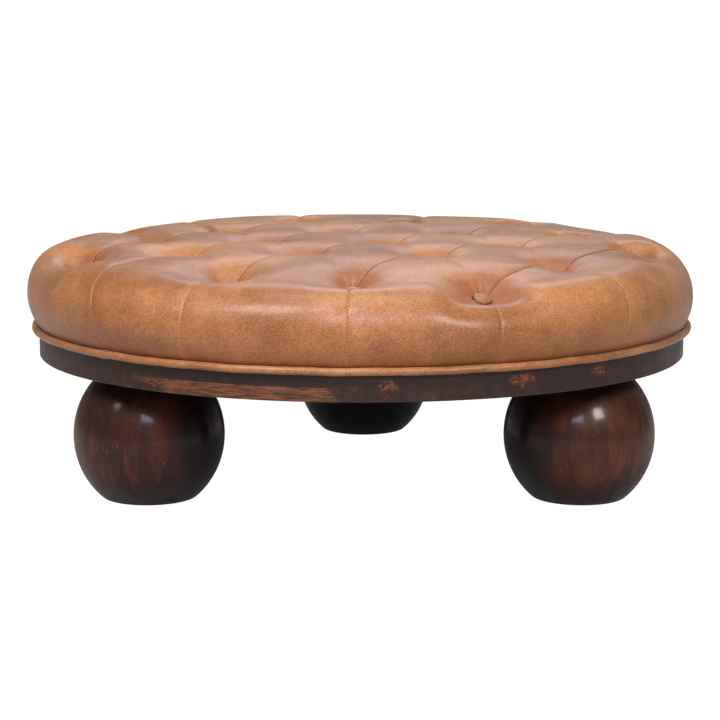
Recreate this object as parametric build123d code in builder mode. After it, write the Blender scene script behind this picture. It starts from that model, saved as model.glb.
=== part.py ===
from build123d import *
import os
from math import cos, hypot, radians, sin, sqrt

# Round button-tufted leather ottoman table on three turned ball feet.
# Millimetres, +Z up, floor at z = 0, front towards -Y, origin under the middle of the top.

MM = 1.0
os.makedirs("parts", exist_ok=True)

# Driving sizes of the whole table; the cushion's heights are taken from the top of the base
overall_diameter = 915.0 * MM
cushion_height = 115.5 * MM
widest_rise = 46.0 * MM

# Feet: turned wooden balls in a tripod, each cut flat above and below
foot_diameter = 200.0 * MM
foot_height = 174.0 * MM
foot_top_diameter = 112.0 * MM
foot_flat_diameter = 120.0 * MM
foot_edge_round = 12.0 * MM
foot_ring_setback = 116.5 * MM
tripod_shift = 15.0 * MM
tripod_side_shift = 3.5 * MM
pad_diameter = 64.0 * MM
pad_thickness = 3.0 * MM
pad_recess = 2.0 * MM

# Wooden base: two glued-up layers, the boards of one across the other
board_thickness = 18.0 * MM
base_setback = 12.0 * MM
boards_per_layer = 9
base_edge_bevel = 1.5 * MM

# Hanger bolts and tee nuts that hold the feet
bolt_diameter = 10.0 * MM
bolt_grip_in_foot = 40.0 * MM
bolt_hole_clearance = 0.5 * MM
nut_barrel_diameter = 12.4 * MM
nut_flange_diameter = 24.0 * MM
nut_flange_thickness = 1.5 * MM
nut_length = 16.0 * MM
thread_clearance = 0.05 * MM
fit_clearance = 0.1 * MM

# Leather, seat board and their fixings
leather_thickness = 1.2 * MM
seat_board_thickness = 12.0 * MM
soft_clearance = 0.3 * MM
flap_width = 35.0 * MM
screw_count = 6
screw_ring_setback = 70.5 * MM
screw_diameter = 5.0 * MM
screw_head_diameter = 9.5 * MM
screw_head_height = 3.0 * MM
screw_length = 45.0 * MM
screw_drive_diameter = 4.0 * MM
screw_drive_depth = 2.0 * MM
screw_clearance = 0.25 * MM
staple_count = 24
staple_crown = 10.0 * MM
staple_wire = 0.8 * MM
staple_leg = 8.0 * MM
staple_clearance = 0.05 * MM

# Piping between the cushion and the base
piping_diameter = 10.0 * MM
piping_core_diameter = 7.4 * MM
piping_flange_width = 22.0 * MM
piping_overhang = 5.0 * MM
piping_rise = 2.6 * MM
piping_joint_gap = 0.6 * MM
piping_joint_angle = -47.0

# Cushion: crown, rolled edge and drawn-in foot
crown_rise = 4.5 * MM
foot_tuck = 14.5 * MM
foam_edge_setback = 37.5 * MM
wadding_under_buttons = 7.9 * MM

# Tufts: rows of buttons joined by folds, and sewn folds out over the edge
tuft_spacing = 168.0 * MM
tuft_row_pitch = 152.0 * MM
tuft_shift = 28.0 * MM
tuft_turn = 8.0
outer_tuft_outset = 4.0 * MM
tuft_row_shares = (
    (-2, (-1, 0, 1)),
    (-1, (-2.5, -1.5, -0.5, 0.5, 1.5)),
    (0, (-2, -1, 0, 1, 2)),
    (1, (-2.5, -1.5, -0.5, 0.5, 1.5)),
    (2, (-1, 0, 1)),
)
tuft_nudges = {
    (-2, -1): (14.0 * MM, -20.0 * MM),
    (-2, 0): (3.0 * MM, -36.0 * MM),
    (-2, 1): (0, -36.0 * MM),
    (0, 1): (6.0 * MM, 0),
    (0, 2): (12.0 * MM, 0),
}
edge_fold_angles = {
    (-2, -1): -29.0, (-2, 0): -2.3, (-2, 1): 21.7, (-1, 1.5): 47.2, (0, 2): 82.0,
    (1, 1.5): 114.0, (2, 1): 142.5, (2, 0): 165.0, (2, -1): 190.0, (1, -1.5): 217.0,
    (1, -2.5): 240.0, (-1, -2.5): 288.0, (-1, -1.5): 312.8,
}
pit_depth = 44.0 * MM
pit_floor_radius = 15.0 * MM
pit_mouth_radius = 52.0 * MM
pit_lip = 6.0 * MM
pit_lip_slope = 35.0
fold_depth = 7.0 * MM
fold_reach = 34.0 * MM
fold_root = 1.5 * MM
fold_lip = 4.0 * MM
fold_lip_slope = 24.0
edge_fold_depth = 7.0 * MM
edge_fold_drop = 26.0 * MM
edge_fold_reach = 30.0 * MM
overrun = 25.0 * MM

# Buttons and what ties them down
button_diameter = 27.0 * MM
button_height = 7.5 * MM
button_rim = 2.5 * MM
twine_diameter = 1.8 * MM
twine_clearance = 0.3 * MM
twine_knot_diameter = 5.0 * MM
washer_diameter = 20.0 * MM
washer_thickness = 1.5 * MM

# Heights and radii that follow from the sizes above
lower_layer_height = foot_height
upper_layer_height = lower_layer_height + board_thickness
base_top = upper_layer_height + board_thickness
cushion_top_height = base_top + cushion_height
widest_height = base_top + widest_rise
base_diameter = overall_diameter - 2 * base_setback
base_radius = base_diameter / 2
foot_ring_radius = base_radius - foot_ring_setback
screw_circle_radius = base_radius - screw_ring_setback
flange_thickness = 2 * leather_thickness
flap_height = base_top + flange_thickness
seat_board_height = flap_height + leather_thickness
seat_top = seat_board_height + seat_board_thickness
cushion_radius = overall_diameter / 2
cushion_foot_radius = cushion_radius - foot_tuck
roll_radius = cushion_top_height - widest_height
roll_centre = cushion_radius - roll_radius
outer_tuft_radius = roll_centre + outer_tuft_outset
flap_inner_radius = cushion_foot_radius - flap_width
seat_board_radius = cushion_foot_radius - leather_thickness - soft_clearance
foam_radius = cushion_radius - foam_edge_setback
foam_height = cushion_top_height - pit_depth - wadding_under_buttons - seat_top
piping_radius = base_radius + piping_overhang
piping_height = base_top + piping_rise
twine_hole_radius = twine_diameter / 2 + twine_clearance

foot_ring_angles = {"front_left": 210, "front_right": 330, "rear": 90}
foot_places = {
    side: (
        tripod_side_shift + foot_ring_radius * cos(radians(angle)),
        -tripod_shift + foot_ring_radius * sin(radians(angle)),
    )
    for side, angle in foot_ring_angles.items()
}


def finish(piece, name):
    """Name a finished piece and write it."""
    piece.part.label = name
    export_step(piece.part, f"parts/{name}.step")


def crown_height(radius):
    """Height of the untufted cushion at a distance from its middle: a shallow cone, then the roll."""
    if radius < roll_centre:
        return cushion_top_height + crown_rise * (1 - radius / roll_centre)
    return widest_height + sqrt(max(roll_radius**2 - (radius - roll_centre) ** 2, 0))


def tuft_place(row, step):
    """Plan position of one button: the lattice is turned, some are off it, the outermost pulled in."""
    across, deep = step * tuft_spacing, row * tuft_row_pitch
    aside, back = tuft_nudges.get((row, step), (0, 0))
    turn = radians(tuft_turn)
    x = across * cos(turn) + deep * sin(turn) + tuft_shift + aside
    y = deep * cos(turn) - across * sin(turn) + back
    pull = min(1, outer_tuft_radius / hypot(x, y))
    return x * pull, y * pull


tufts = {(row, step): tuft_place(row, step) for row, steps in tuft_row_shares for step in steps}


def on_edge(angle, radius):
    """Plan position at an angle from the front, positive to the right."""
    return radius * sin(radians(angle)), -radius * cos(radians(angle))


def rim_profile(floor_radius, depth, mouth_radius, lip, slope):
    """Half outline of a pit or a fold: a root, and a flank that rolls over into the crown."""
    down = (-cos(radians(slope)), -sin(radians(slope)))
    Line((0, -depth), (floor_radius, -depth))
    TangentArc((mouth_radius, lip), (floor_radius, -depth), tangent=down)
    Line((mouth_radius, lip), (mouth_radius, overrun))


def fold_tool(start, end, depth, reach):
    """Ruled loft between a fold's two end sections: a narrow root, and flanks that roll outwards."""
    run = Vector(end[0] - start[0], end[1] - start[1], 0).normalized()
    side = Vector(-run.Y, run.X, 0)
    with BuildPart(mode=Mode.PRIVATE) as tool:
        for place in (start, end):
            with BuildSketch(Plane(origin=place, x_dir=side, z_dir=run * -1)):
                with BuildLine():
                    rim_profile(fold_root, depth, reach, fold_lip, fold_lip_slope)
                    mirror(about=Plane.YZ)
                    Line((-reach, overrun), (reach, overrun))
                make_face()
        loft(ruled=True)
    return tool.part


def on_crown(place):
    """A plan position lifted onto the untufted cushion."""
    return (*place, crown_height(hypot(*place)))


def fold_groups():
    """Folds in groups that don't touch one another: eight between the rows, and one over the edge."""
    groups = []
    for row, steps in tuft_row_shares[:-1]:
        for lean in (-0.5, 0.5):
            pairs = [(tufts[(row, s)], tufts.get((row + 1, s + lean))) for s in steps]
            groups.append(
                [
                    fold_tool(on_crown(a), on_crown(b), fold_depth, fold_reach)
                    for a, b in pairs
                    if b
                ]
            )
    over_edge = []
    for key, angle in edge_fold_angles.items():
        rim = (*on_edge(angle, cushion_radius + overrun), cushion_top_height - edge_fold_drop)
        over_edge.append(fold_tool(on_crown(tufts[key]), rim, edge_fold_depth, edge_fold_reach))
    return groups + [over_edge]


# Felt pads under the feet
for side, place in foot_places.items():
    with BuildPart() as pad:
        with BuildSketch():
            with Locations(place):
                Circle(pad_diameter / 2)
        extrude(amount=pad_thickness)
    finish(pad, f"felt_pad_{side}")

# Ball feet: a ball stretched upright and cut flat, with a recess for the pad and a bore for the bolt
foot_bottom = pad_thickness - pad_recess
foot_radius = foot_diameter / 2
top_reach = sqrt(foot_radius**2 - (foot_top_diameter / 2) ** 2)
flat_reach = sqrt(foot_radius**2 - (foot_flat_diameter / 2) ** 2)
foot_stretch = (foot_height - foot_bottom) / (top_reach + flat_reach)
foot_belly_height = foot_bottom + flat_reach * foot_stretch
with BuildPart(mode=Mode.PRIVATE) as ball:
    Sphere(foot_radius)
    scale(by=(1, 1, foot_stretch))
for side, place in foot_places.items():
    with BuildPart() as foot:
        with Locations((*place, foot_belly_height)):
            add(ball.part)
        with BuildSketch(Plane.XY.offset(foot_bottom)):
            with Locations(place):
                Circle(foot_diameter)
        extrude(amount=foot_height - foot_bottom, mode=Mode.INTERSECT)
        fillet(foot.edges().group_by(Axis.Z)[0], foot_edge_round)
        with BuildSketch(Plane.XY):
            with Locations(place):
                Circle(pad_diameter / 2 + fit_clearance)
        extrude(amount=pad_thickness, mode=Mode.SUBTRACT)
        with BuildSketch(Plane.XY.offset(foot_height - bolt_grip_in_foot)):
            with Locations(place):
                Circle(bolt_diameter / 2 + thread_clearance)
        extrude(amount=bolt_grip_in_foot, mode=Mode.SUBTRACT)
    finish(foot, f"ball_foot_{side}")

# Hanger bolts: wood thread in the ball, machine thread up through the base into the tee nut
bolt_top = base_top + nut_flange_thickness
with BuildPart() as hanger_bolts:
    with BuildSketch(Plane.XY.offset(foot_height - bolt_grip_in_foot)):
        with Locations(*foot_places.values()):
            Circle(bolt_diameter / 2)
    extrude(amount=bolt_top - foot_height + bolt_grip_in_foot)
finish(hanger_bolts, "hanger_bolts")

with BuildPart() as tee_nuts:
    with BuildSketch(Plane.XY.offset(base_top - nut_length)):
        with Locations(*foot_places.values()):
            Circle(nut_barrel_diameter / 2)
    extrude(amount=nut_length)
    with BuildSketch(Plane.XY.offset(base_top)):
        with Locations(*foot_places.values()):
            Circle(nut_flange_diameter / 2)
    extrude(amount=nut_flange_thickness)
    with BuildSketch(Plane.XY.offset(base_top - nut_length)):
        with Locations(*foot_places.values()):
            Circle(bolt_diameter / 2 + thread_clearance)
    extrude(amount=nut_length + nut_flange_thickness, mode=Mode.SUBTRACT)
finish(tee_nuts, "tee_nuts")

# Base boards: the lower layer runs front to back, the upper one side to side
board_width = base_diameter / boards_per_layer
for layer, height in (("lower", lower_layer_height), ("upper", upper_layer_height)):
    for number in range(boards_per_layer):
        offset_across = (number - (boards_per_layer - 1) / 2) * board_width
        along_y = layer == "lower"
        strip = (board_width, base_diameter) if along_y else (base_diameter, board_width)
        centre = (offset_across, 0) if along_y else (0, offset_across)
        with BuildPart() as board:
            with BuildSketch(Plane.XY.offset(height)):
                Circle(base_radius)
            extrude(amount=board_thickness)
            if along_y:
                chamfer(board.edges().group_by(Axis.Z)[0], base_edge_bevel)
            with BuildSketch(Plane.XY.offset(height)):
                with Locations(centre):
                    Rectangle(*strip)
            extrude(amount=board_thickness, mode=Mode.INTERSECT)
            with BuildSketch(Plane.XY.offset(height)):
                with Locations(*foot_places.values()):
                    Circle(bolt_diameter / 2 + bolt_hole_clearance)
                with PolarLocations(screw_circle_radius, screw_count):
                    Circle(screw_diameter / 2 + screw_clearance)
            extrude(amount=board_thickness, mode=Mode.SUBTRACT)
            if along_y:
                with Locations((0, 0, height)):
                    with PolarLocations(screw_circle_radius, screw_count):
                        Cone(
                            screw_head_diameter / 2 + screw_clearance,
                            screw_diameter / 2 + screw_clearance,
                            screw_head_height,
                            align=(Align.CENTER, Align.CENTER, Align.MIN),
                            mode=Mode.SUBTRACT,
                        )
            else:
                with BuildSketch(Plane.XY.offset(base_top - nut_length)):
                    with Locations(*foot_places.values()):
                        Circle(nut_barrel_diameter / 2 + fit_clearance)
                extrude(amount=nut_length, mode=Mode.SUBTRACT)
        finish(board, f"{layer}_board_{number + 1}")

# Seat board: a plywood disc that carries the cushion, bored for the button twines
with BuildPart() as seat_board:
    with BuildSketch(Plane.XY.offset(seat_board_height)):
        Circle(seat_board_radius)
        with Locations(*tufts.values()):
            Circle(twine_hole_radius, mode=Mode.SUBTRACT)
    extrude(amount=seat_board_thickness)
    screw_tip = lower_layer_height + screw_length
    with BuildSketch(Plane.XY.offset(seat_board_height)):
        with PolarLocations(screw_circle_radius, screw_count):
            Circle(screw_diameter / 2 + fit_clearance)
    extrude(amount=screw_tip - seat_board_height, mode=Mode.SUBTRACT)
    with PolarLocations(flap_inner_radius + flap_width / 4, staple_count):
        with Locations((0, 0, seat_board_height)):
            with GridLocations(staple_wire, staple_crown - staple_wire, 1, 2):
                Box(
                    staple_wire + 2 * staple_clearance,
                    staple_wire + 2 * staple_clearance,
                    2 * (staple_leg - leather_thickness),
                    mode=Mode.SUBTRACT,
                )
finish(seat_board, "seat_board")

# Screws up through both layers into the seat board
with BuildPart() as seat_screws:
    with BuildSketch(Plane.XY.offset(lower_layer_height)):
        with PolarLocations(screw_circle_radius, screw_count):
            Circle(screw_diameter / 2)
    extrude(amount=screw_length)
    with Locations((0, 0, lower_layer_height)):
        with PolarLocations(screw_circle_radius, screw_count):
            Cone(
                screw_head_diameter / 2,
                screw_diameter / 2,
                screw_head_height,
                align=(Align.CENTER, Align.CENTER, Align.MIN),
            )
    with BuildSketch(Plane.XY.offset(lower_layer_height)):
        with PolarLocations(screw_circle_radius, screw_count):
            RegularPolygon(screw_drive_diameter / 2, 4)
    extrude(amount=screw_drive_depth, mode=Mode.SUBTRACT)
finish(seat_screws, "seat_screws")

# Staples that hold the turned-under edge of the cover to the seat board
with BuildPart() as cover_staples:
    with PolarLocations(flap_inner_radius + flap_width / 4, staple_count):
        with Locations((0, 0, flap_height - staple_wire / 2)):
            Box(staple_wire, staple_crown, staple_wire)
        with Locations((0, 0, flap_height)):
            with GridLocations(staple_wire, staple_crown - staple_wire, 1, 2):
                Box(
                    staple_wire,
                    staple_wire,
                    staple_leg,
                    align=(Align.CENTER, Align.CENTER, Align.MIN),
                )
finish(cover_staples, "cover_staples")

# Piping: a leather tube with a flange clamped on the base, round a cord
joint_direction = on_edge(piping_joint_angle, piping_radius)
with BuildPart() as joint_slot:
    with BuildSketch(Plane.XY.offset(base_top - piping_diameter)):
        with Locations(Location((joint_direction[0], joint_direction[1], 0), (0, 0, piping_joint_angle))):
            Rectangle(piping_joint_gap, 3 * piping_flange_width)
    extrude(amount=3 * piping_diameter)

with BuildPart() as piping_leather:
    with BuildSketch(Plane.XZ):
        with Locations((piping_radius, piping_height)):
            Circle(piping_diameter / 2)
        with Locations((piping_radius - piping_flange_width / 2, base_top + flange_thickness / 2)):
            Rectangle(piping_flange_width, flange_thickness)
        with Locations((piping_radius, piping_height)):
            Circle(piping_core_diameter / 2 + fit_clearance, mode=Mode.SUBTRACT)
    revolve(axis=Axis.Z)
    add(joint_slot.part, mode=Mode.SUBTRACT)
finish(piping_leather, "piping_leather")

with BuildPart() as piping_cord:
    with BuildSketch(Plane.XZ):
        with Locations((piping_radius, piping_height)):
            Circle(piping_core_diameter / 2)
    revolve(axis=Axis.Z)
    add(joint_slot.part, mode=Mode.SUBTRACT)
finish(piping_cord, "piping_cord")

# Foam core: a plain disc on the seat board
with BuildPart() as foam_core:
    with BuildSketch(Plane.XY.offset(seat_top)):
        Circle(foam_radius)
        with Locations(*tufts.values()):
            Circle(twine_hole_radius, mode=Mode.SUBTRACT)
    extrude(amount=foam_height)
finish(foam_core, "foam_core")

# Leather cover: one tufted skin with its quilted wadding, turned under the seat board
bulge_radius = ((widest_height - flap_height) ** 2 + foot_tuck**2) / (2 * foot_tuck)
bulge_centre = cushion_radius - bulge_radius
half_drop = (widest_height - flap_height) / 2
half_turn = radians(45)
with BuildPart() as leather_cover:
    with BuildSketch(Plane.XZ):
        with BuildLine():
            Line((0, flap_height), (cushion_foot_radius, flap_height))
            ThreePointArc(
                (cushion_foot_radius, flap_height),
                (bulge_centre + sqrt(bulge_radius**2 - half_drop**2), widest_height - half_drop),
                (cushion_radius, widest_height),
            )
            ThreePointArc(
                (cushion_radius, widest_height),
                (
                    roll_centre + roll_radius * cos(half_turn),
                    widest_height + roll_radius * sin(half_turn),
                ),
                (roll_centre, cushion_top_height),
            )
            Line((roll_centre, cushion_top_height), (0, crown_height(0)))
            Line((0, crown_height(0)), (0, flap_height))
        make_face()
    revolve(axis=Axis.Z)
    with BuildPart(mode=Mode.PRIVATE) as pit_tool:
        with BuildSketch(Plane.XZ):
            with BuildLine():
                rim_profile(pit_floor_radius, pit_depth, pit_mouth_radius, pit_lip, pit_lip_slope)
                Line((pit_mouth_radius, overrun), (0, overrun))
                Line((0, overrun), (0, -pit_depth))
            make_face()
        revolve(axis=Axis.Z)
    with Locations(*[on_crown(place) for place in tufts.values()]):
        add(pit_tool.part, mode=Mode.SUBTRACT)
    for group in fold_groups():
        add(group, mode=Mode.SUBTRACT)
    with BuildSketch(Plane.XY.offset(flap_height)):
        Circle(flap_inner_radius)
    extrude(amount=leather_thickness, mode=Mode.SUBTRACT)
    with BuildSketch(Plane.XY.offset(seat_board_height)):
        Circle(seat_board_radius + soft_clearance)
    extrude(amount=seat_board_thickness + soft_clearance, mode=Mode.SUBTRACT)
    with BuildSketch(Plane.XY.offset(seat_top)):
        Circle(foam_radius + soft_clearance)
    extrude(amount=foam_height + soft_clearance, mode=Mode.SUBTRACT)
    with BuildSketch(Plane.XY.offset(seat_top)):
        with Locations(*tufts.values()):
            Circle(twine_hole_radius)
    extrude(amount=cushion_top_height - seat_top, mode=Mode.SUBTRACT)
    with PolarLocations(flap_inner_radius + flap_width / 4, staple_count):
        with Locations((0, 0, flap_height)):
            with GridLocations(staple_wire, staple_crown - staple_wire, 1, 2):
                Box(
                    staple_wire + 2 * staple_clearance,
                    staple_wire + 2 * staple_clearance,
                    3 * leather_thickness,
                    mode=Mode.SUBTRACT,
                )
finish(leather_cover, "leather_cover")

# Buttons: leather-covered domes that sit in the pits
button_floors = [(x, y, crown_height(hypot(x, y)) - pit_depth) for x, y in tufts.values()]
button_radius = button_diameter / 2
dome_rise = button_height - button_rim
dome_radius = (button_radius**2 + dome_rise**2) / (2 * dome_rise)
dome_middle = button_height - dome_radius + sqrt(dome_radius**2 - (button_radius / 2) ** 2)
with BuildPart(mode=Mode.PRIVATE) as one_button:
    with BuildSketch(Plane.XZ):
        with BuildLine():
            Line((0, soft_clearance), (button_radius, soft_clearance))
            Line((button_radius, soft_clearance), (button_radius, button_rim))
            ThreePointArc(
                (button_radius, button_rim),
                (button_radius / 2, dome_middle),
                (0, button_height),
            )
            Line((0, button_height), (0, soft_clearance))
        make_face()
    revolve(axis=Axis.Z)
with BuildPart() as tuft_buttons:
    with Locations(*button_floors):
        add(one_button.part)
finish(tuft_buttons, "tuft_buttons")

# Twines: one straight pull from each button down to a knot under its washer
with BuildPart() as button_twines:
    for x, y, floor in button_floors:
        with BuildSketch(Plane.XY.offset(seat_board_height - washer_thickness)):
            with Locations((x, y)):
                Circle(twine_diameter / 2)
        extrude(amount=floor + soft_clearance - seat_board_height + washer_thickness)
    with BuildSketch(Plane.XY.offset(base_top + fit_clearance)):
        with Locations(*tufts.values()):
            Circle(twine_knot_diameter / 2)
    extrude(amount=seat_board_height - washer_thickness - base_top - fit_clearance)
finish(button_twines, "button_twines")

with BuildPart() as twine_washers:
    with BuildSketch(Plane.XY.offset(seat_board_height - washer_thickness)):
        with Locations(*tufts.values()):
            Circle(washer_diameter / 2)
            Circle(twine_diameter / 2 + fit_clearance, mode=Mode.SUBTRACT)
    extrude(amount=washer_thickness)
finish(twine_washers, "twine_washers")
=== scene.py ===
# %% [markdown]
# A round ottoman table: a button-tufted leather cushion with piping round its foot, on a wooden
# base of two glued layers, carried by three turned wooden balls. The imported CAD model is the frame:
# every piece here is in its metres, with the floor at z = 0 and the front towards -Y.

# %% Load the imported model
from math import cos, pi, radians, sin, tau

import bpy
import numpy as np
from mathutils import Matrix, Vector


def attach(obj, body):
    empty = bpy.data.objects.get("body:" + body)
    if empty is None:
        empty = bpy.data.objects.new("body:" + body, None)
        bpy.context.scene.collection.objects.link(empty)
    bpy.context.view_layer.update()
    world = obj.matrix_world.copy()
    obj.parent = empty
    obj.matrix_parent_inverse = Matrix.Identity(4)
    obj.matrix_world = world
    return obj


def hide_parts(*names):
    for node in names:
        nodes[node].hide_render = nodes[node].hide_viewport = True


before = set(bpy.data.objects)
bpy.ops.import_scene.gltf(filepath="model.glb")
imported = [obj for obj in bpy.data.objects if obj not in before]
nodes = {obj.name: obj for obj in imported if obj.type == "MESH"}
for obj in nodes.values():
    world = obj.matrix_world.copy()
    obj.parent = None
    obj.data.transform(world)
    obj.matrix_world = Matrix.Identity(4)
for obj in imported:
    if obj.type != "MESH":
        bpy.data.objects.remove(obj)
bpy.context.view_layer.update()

MM = 0.001

# %% [markdown]
# A few helpers serve every material and every geometry tree. Colours are written as a painter would
# note them, in sRGB hex, and turned into the linear values that the shader works in. One function
# adds any node, because a tree is only nodes, their settings and the links between them.

# %% Colour and node helpers


def linear(code):
    """Linear colour with alpha for an sRGB hex code."""
    channels = [int(code[i : i + 2], 16) / 255 for i in (1, 3, 5)]
    bent = [c / 12.92 if c <= 0.04045 else ((c + 0.055) / 1.055) ** 2.4 for c in channels]
    return (*bent, 1.0)


def add_node(tree, kind, inputs=None, **settings):
    """Add a node to a tree, set its properties, and fill its inputs with values or links."""
    made = tree.nodes.new(kind)
    for name, value in settings.items():
        setattr(made, name, value)
    for key, value in (inputs or {}).items():
        if isinstance(value, bpy.types.NodeSocket):
            tree.links.new(value, made.inputs[key])
        else:
            made.inputs[key].default_value = value
    return made


def bare_tree(holder):
    """The emptied node tree of a material or the world."""
    holder.use_nodes = True
    holder.node_tree.nodes.clear()
    return holder.node_tree


def put_in_scene(name, data):
    """A new object for a mesh, a lamp or a camera, linked into the scene."""
    made = bpy.data.objects.new(name, data)
    bpy.context.scene.collection.objects.link(made)
    return made


def new_material(name, **surface):
    """A material with a Principled shader; its constants are set on the shader's own sockets."""
    material = bpy.data.materials.new(name)
    tree = bare_tree(material)
    shader = add_node(tree, "ShaderNodeBsdfPrincipled", surface)
    add_node(tree, "ShaderNodeOutputMaterial", {"Surface": shader.outputs["BSDF"]})
    return material, tree, shader


# %% [markdown]
# A finish is built up as it is at the bench: an uneven ground, then further tones laid over it
# where a pattern, a height or a distance says, and last the way the surface shines. Sizes are real
# ones in metres, so a pattern keeps its scale whatever piece it is put on.

# %% Helpers for uneven finishes


def pattern(tree, place, size, detail, rough=0.5, stretch=(1, 1, 1)):
    """Uneven values over a piece, in patches of a size in metres, narrowed by a stretch."""
    moved = add_node(tree, "ShaderNodeMapping", {"Vector": place, "Scale": stretch})
    noise = add_node(
        tree,
        "ShaderNodeTexNoise",
        {"Vector": moved.outputs[0], "Scale": 1 / size, "Detail": detail, "Roughness": rough},
    )
    return noise.outputs["Fac"]


def dyed(tree, colour, tone, value, start, end, weak=0.0, full=1.0, only=None):
    """Lay a tone over a colour, from weak to full as a value runs from start to end."""
    share = add_node(
        tree,
        "ShaderNodeMapRange",
        {"Value": value, "From Min": start, "From Max": end, "To Min": weak, "To Max": full},
        interpolation_type="SMOOTHSTEP",
    ).outputs["Result"]
    if only is not None:
        share = add_node(tree, "ShaderNodeMath", {0: share, 1: only}, operation="MULTIPLY").outputs[0]
    mixed = add_node(tree, "ShaderNodeMix", {0: share, 6: colour, 7: tone}, data_type="RGBA")
    return mixed.outputs[2]


def dress_shader(tree, shader, colour, uneven, smooth, rough, start=0.3, end=0.7, more=None):
    """Give a shader its colour, a roughness that varies with a pattern, and more of it if any."""
    roughness = add_node(
        tree,
        "ShaderNodeMapRange",
        {"Value": uneven, "From Min": start, "From Max": end, "To Min": smooth, "To Max": rough},
        interpolation_type="SMOOTHSTEP",
    )
    if more is not None:
        both = {0: roughness.outputs[0], 1: more}
        roughness = add_node(tree, "ShaderNodeMath", both, operation="ADD")
    tree.links.new(colour, shader.inputs["Base Color"])
    tree.links.new(roughness.outputs[0], shader.inputs["Roughness"])


def relieve(tree, shader, uneven, depth, strength=1.0):
    """Raise and sink a surface a little, as its pattern does."""
    bump = add_node(
        tree, "ShaderNodeBump", {"Height": uneven, "Distance": depth, "Strength": strength}
    )
    tree.links.new(bump.outputs[0], shader.inputs["Normal"])


def dress_nodes(start, material):
    """Put a material on the CAD nodes whose names start so."""
    dressed = [node for name, node in nodes.items() if name.startswith(start)]
    for node in dressed:
        node.data.materials.clear()
        node.data.materials.append(material)
    print(start, len(dressed), "dressed in", material.name)


# %% [markdown]
# The camera stands where the photograph was taken: nearly nine degrees above the horizon, on a long
# lens, so the far rim hardly shrinks. It could be placed by eye; here it was fitted to the ellipses
# of the rim, the base and the piping, which fixes height, distance and lens together.

# %% Camera
camera_place = Vector((-0.00206, -3.1519, 0.6513))
camera_tilt = 8.922
camera_lens = 113.97
camera_data = bpy.data.cameras.new("photo_view")
camera_data.lens = camera_lens
camera_data.sensor_width = 36.0
camera = put_in_scene("photo_view", camera_data)
camera.location = camera_place
camera.rotation_euler = (radians(90 - camera_tilt), 0, 0)
bpy.context.scene.camera = camera
print("camera", round(camera_place.length, 3), "m from the origin")

# %% [markdown]
# The photograph was lit by warm soft boxes on the left and right, cool ones in front and a broad
# one overhead; a weak one behind is added for the back, which the photograph doesn't show. Their
# places can be read from the highlights on the balls, because a highlight lies half way between the
# light and the eye. Azimuth runs from the front to the right.

# %% Soft boxes
aimed_at = Vector((0, 0, 0.25))
# name, azimuth and elevation in degrees, distance and width in metres, watts, colour
soft_boxes = [
    ("left_box", -37, 43, 2.6, 0.7, 34, "#fff1e2"),
    ("left_low_box", -57, 31, 2.6, 0.36, 3.4, "#ffeada"),
    ("front_box", -3, 28, 3.4, 0.95, 34, "#dadfff"),
    ("window_box", -17, 52, 3.0, 0.6, 15, "#c6d2ff"),
    ("right_box", 32, 27, 2.8, 0.6, 34, "#fff4ea"),
    ("top_box", 10, 84, 2.6, 1.8, 27, "#f6fcf8"),
    ("rear_box", 176, 38, 3.0, 1.6, 14, "#eef0ff"),
]
for name, azimuth, elevation, distance, width, watts, tint in soft_boxes:
    data = bpy.data.lights.new(name, "AREA")
    data.shape, data.size, data.energy, data.color = "SQUARE", width, watts, linear(tint)[:3]
    lamp = put_in_scene(name, data)
    a, e = radians(azimuth), radians(elevation)
    aim = Vector((sin(a) * cos(e), -cos(a) * cos(e), sin(e)))
    lamp.location = aim * distance + aimed_at
    lamp.rotation_euler = aim.to_track_quat("Z", "Y").to_euler()

# %% [markdown]
# A dim world fills the shadows. World and floor are white to the camera and through glass, and gloss
# sees a small share of that white, so polish isn't washed out. The floor is a matt grey to the
# light, mixed with a white glow to the eye, so it stays white and still takes a soft shadow.

# %% World and floor
world_fill = 0.15
sky_in_gloss, floor_in_gloss = 0.06, 0.1
glow_strength, glow_share = 1.32, 0.78
floor_half = 15.0
white = linear("#ffffff")
dim = tuple(world_fill * c for c in linear("#fff4e8")[:3]) + (1,)


def seen_directly(tree, gloss_share):
    """One where a ray comes from the camera or through glass, a share where it comes from gloss."""
    ray = add_node(tree, "ShaderNodeLightPath").outputs
    gloss = add_node(
        tree, "ShaderNodeMath", {0: ray["Is Glossy Ray"], 1: gloss_share}, operation="MULTIPLY"
    )
    either = add_node(
        tree, "ShaderNodeMath", {0: ray["Is Camera Ray"], 1: gloss.outputs[0]}, operation="MAXIMUM"
    )
    glass = {0: either.outputs[0], 1: ray["Is Transmission Ray"]}
    return add_node(tree, "ShaderNodeMath", glass, operation="MAXIMUM").outputs[0]


world = bpy.data.worlds.new("studio")
bpy.context.scene.world = world
sky = bare_tree(world)
sky_mix = {0: seen_directly(sky, sky_in_gloss), 6: dim, 7: white}
sky_colour = add_node(sky, "ShaderNodeMix", sky_mix, data_type="RGBA").outputs[2]
backdrop = add_node(sky, "ShaderNodeBackground", {"Color": sky_colour})
add_node(sky, "ShaderNodeOutputWorld", {"Surface": backdrop.outputs[0]})

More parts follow.
